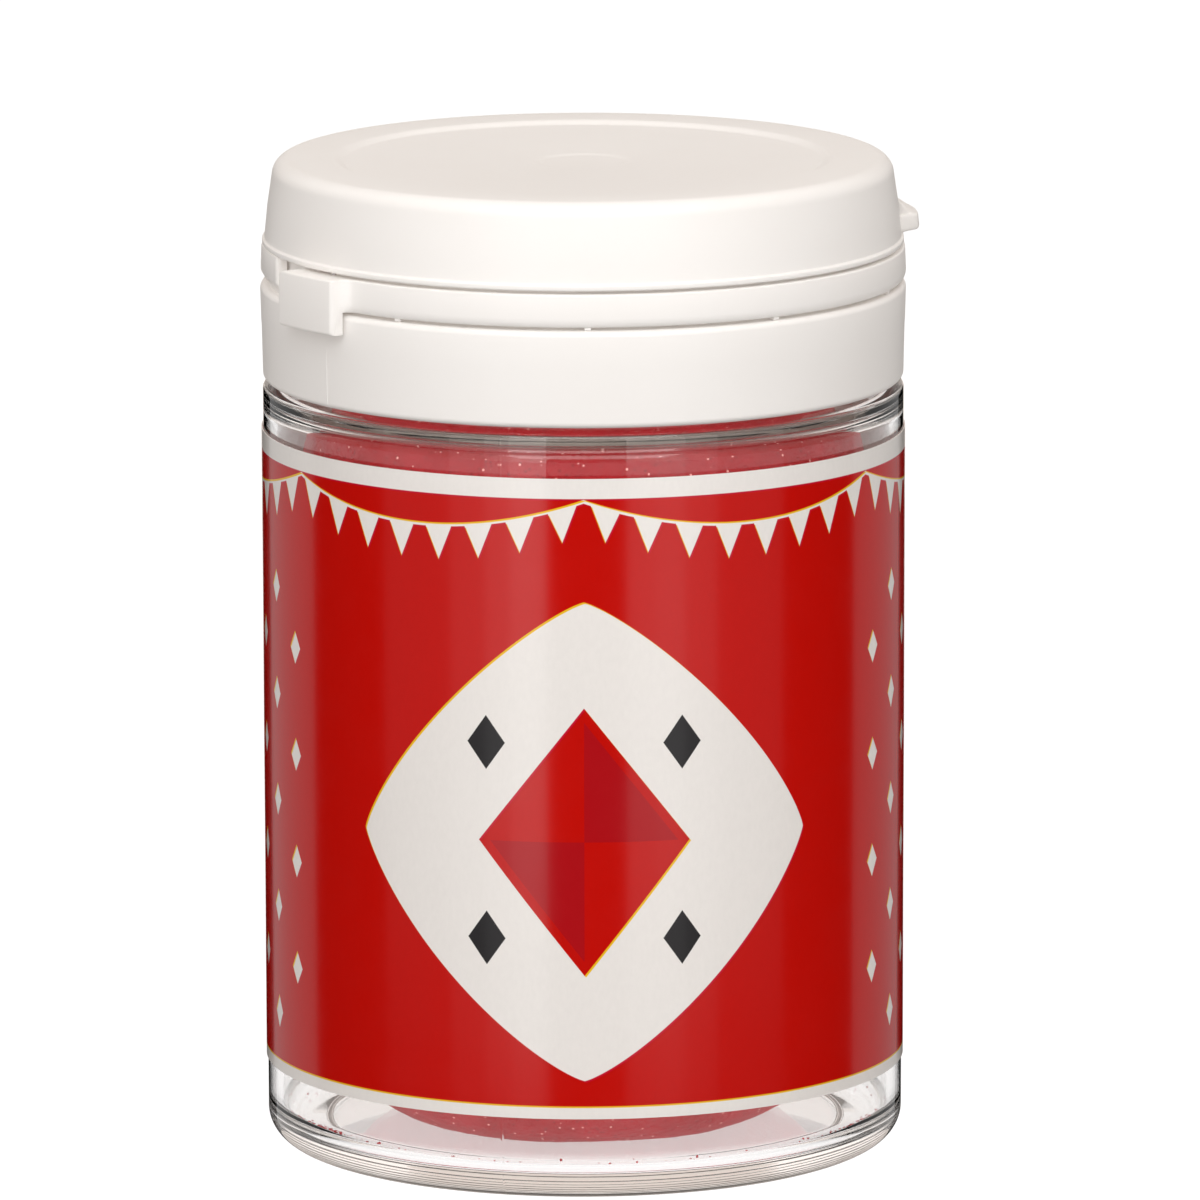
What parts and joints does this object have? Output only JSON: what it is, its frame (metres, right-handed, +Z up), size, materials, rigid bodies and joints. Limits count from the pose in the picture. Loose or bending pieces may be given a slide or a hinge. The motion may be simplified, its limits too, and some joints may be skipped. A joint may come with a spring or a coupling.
{
  "type": "foam clown nose in a flip-top jar",
  "caption": "Round red foam clown nose with a slit for the wearer's nose, kept in a clear labelled jar with a hinged white lid and a tear band.",
  "frame": {"origin": "on the surface that the jar stands on, under the middle of its box; the jar's axis is parallel to Z and 0.7 mm towards -X from it, because the thumb tab reaches past the lid on +X", "axes": "+Z up along the jar, -Y the label's front, +X the side of the thumb tab, -X the side of the hinge"},
  "size_m": [0.0513, 0.05, 0.0772],
  "materials": {
    "clear_plastic": "clear, polished, injection-moulded plastic",
    "printed_film": "glossy printed film",
    "white_plastic": "smooth satin moulded plastic",
    "red_foam": "matt open-cell foam"
  },
  "bodies": {
    "jar_body": {"jar": "clear_plastic", "label": "printed_film", "cap_ring": "white_plastic", "tear_band": "white_plastic", "nose": "red_foam"},
    "lid_body": {"lid": "white_plastic"}
  },
  "joints": [
    {"name": "lid_hinge", "type": "hinge", "parent": "jar_body", "child": "lid_body", "pos_m": [-0.02502, -0.00429, 0.06795], "axis": [0.1736, -0.9848, 0], "range_deg": [0, 130]}
  ]
}
